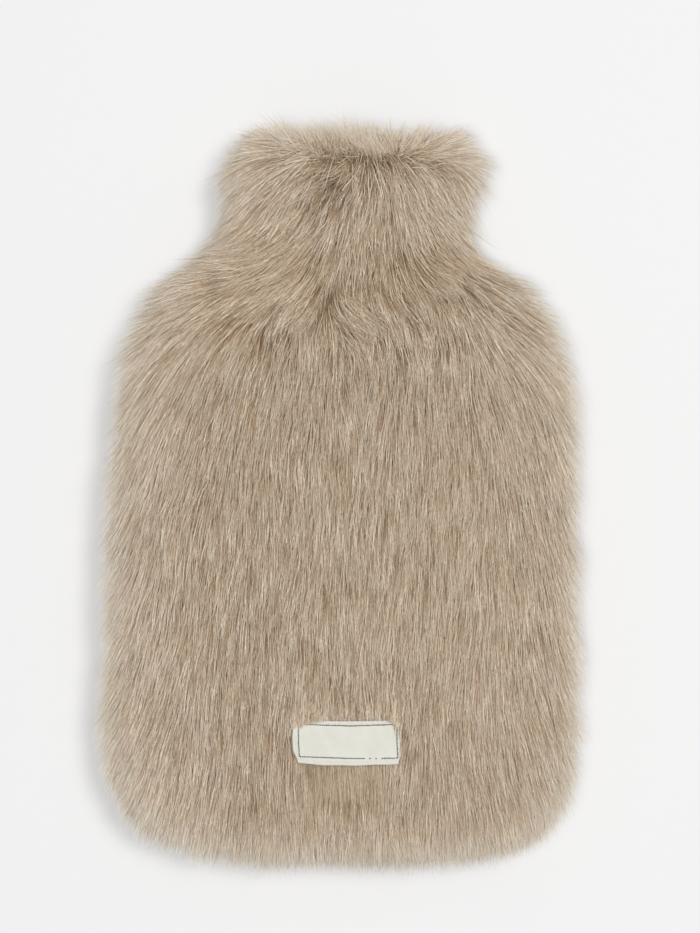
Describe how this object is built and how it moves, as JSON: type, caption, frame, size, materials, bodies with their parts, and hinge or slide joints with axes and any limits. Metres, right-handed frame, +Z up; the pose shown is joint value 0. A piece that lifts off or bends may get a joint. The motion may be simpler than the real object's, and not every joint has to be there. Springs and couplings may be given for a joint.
{
  "type": "hot water bottle cover",
  "caption": "Long-pile fake fur cover for a hot water bottle, sewn round the edge and open at the flared collar, with a small woven label on the front.",
  "frame": {"origin": "middle of the resting side, at the centre of the outline, on the surface that the cover lies on", "axes": "+X across the width to the cover's right as seen from above, +Y from the bottom edge to the mouth in the collar, +Z up out of the front"},
  "size_m": [0.2388, 0.37, 0.058],
  "materials": {
    "fur": "long taupe fake fur pile with a soft sheen, darker at the roots and paler at the tips",
    "label_cloth": "cream woven satin with a thin dark border line, bare inside it"
  },
  "bodies": {
    "root": {"front_panel": "fur", "back_panel": "fur", "label": "label_cloth"}
  },
  "joints": []
}
